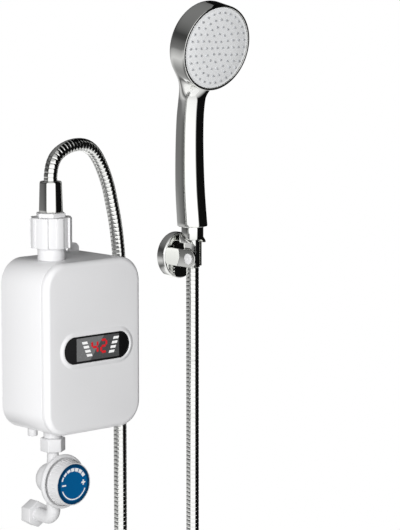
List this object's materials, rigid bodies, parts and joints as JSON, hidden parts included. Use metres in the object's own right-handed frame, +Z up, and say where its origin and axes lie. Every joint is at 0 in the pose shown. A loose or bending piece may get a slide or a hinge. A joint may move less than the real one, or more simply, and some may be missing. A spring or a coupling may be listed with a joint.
{
  "type": "wall-hung instant water heater with shower set",
  "caption": "White wall-hung instant electric water heater with a digital display, a flow valve with a blue dial, a chrome shower hose, and a hand shower in a tilting wall bracket.",
  "frame": {"origin": "centre of the heater casing's flat back face, on the wall", "axes": "+X to the right as seen from the front, +Y into the wall, +Z up"},
  "size_m": [0.277, 0.0755, 0.8776],
  "materials": {
    "white_gloss": "gloss moulded plastic",
    "chrome_plating": "chrome-plated plastic, mirror bright",
    "chrome_hose": "chromed steel strip, wound",
    "rubber_black": "matt",
    "steel": "plain",
    "ivory_plastic": "matt",
    "black_lens": "clear gloss over black",
    "dark_plastic": "matt",
    "board_green": "lacquered",
    "element_steel": "heat-tinted",
    "brass_fitting": "turned",
    "filter_grey": "mesh",
    "dial_blue": "printed",
    "spray_face": "satin",
    "nozzle_rubber": "soft"
  },
  "bodies": {
    "heater": {"rear_shell": "white_gloss", "front_cover": "white_gloss", "cover_gasket": "rubber_black", "cover_screws": "steel", "display_lens": "black_lens", "display_module": "dark_plastic", "display_board": "board_green", "heating_tank": "steel", "tank_gasket": "rubber_black", "tank_cap": "steel", "heating_element": "element_steel", "thermal_cutout": "ivory_plastic", "flow_switch_body": "ivory_plastic", "reed_switch": "dark_plastic", "control_board": "board_green", "terminal_block": "ivory_plastic", "cable_gland": "white_gloss", "gland_nut": "white_gloss", "outlet_spout": "white_gloss", "outlet_locknut": "white_gloss", "outlet_washer": "rubber_black", "outlet_tail": "white_gloss", "outlet_coupling_nut": "white_gloss", "hose_adapter": "white_gloss", "hose_washer_heater": "rubber_black", "hose_fitting_heater": "brass_fitting", "hose_nut_heater": "chrome_plating", "inlet_spout": "white_gloss", "inlet_locknut": "white_gloss", "inlet_filter": "filter_grey", "inlet_union_nut": "white_gloss", "valve_body": "white_gloss", "valve_bonnet": "white_gloss", "supply_washer": "rubber_black", "supply_union_nut": "white_gloss", "hose_main": "chrome_hose", "hose_upper": "chrome_hose", "bracket_plate": "ivory_plastic", "bracket_body": "chrome_plating"},
    "knob": {"flow_knob": "white_gloss", "knob_screw": "steel", "knob_dial": "dial_blue", "valve_spindle": "brass_fitting"},
    "cradle": {"cradle": "chrome_plating", "pivot_screw": "steel"},
    "hose_end": {"hose_sleeve": "chrome_plating"},
    "hand_shower": {"hose_nut_handset": "chrome_plating", "handset_washer": "rubber_black", "handset_body": "chrome_plating", "spray_plate": "spray_face", "spray_nozzles": "nozzle_rubber"},
    "flow_piston": {"flow_piston": "dark_plastic"}
  },
  "joints": [
    {"name": "knob_turn", "type": "hinge", "parent": "heater", "child": "knob", "pos_m": [-0.027, -0.06, -0.136], "axis": [0, -1, 0], "range_deg": [-120, 120]},
    {"name": "cradle_tilt", "type": "hinge", "parent": "heater", "child": "cradle", "pos_m": [0.171, -0.0375, 0.0697], "axis": [1, 0, 0], "range_deg": [0, 20], "deforming": ["hose_upper"]},
    {"name": "handset_lift", "type": "slide", "parent": "cradle", "child": "hose_end", "axis": [0, 0, 1], "range_m": [0, 0.02]},
    {"name": "handset_swivel", "type": "hinge", "parent": "hose_end", "child": "hand_shower", "pos_m": [0.171, -0.0285, 0.095], "axis": [0, 0, 1], "range_deg": [-40, 40]},
    {"name": "piston_rise", "type": "slide", "parent": "heater", "child": "flow_piston", "axis": [0, 0, 1], "range_m": [0, 0.006]}
  ]
}
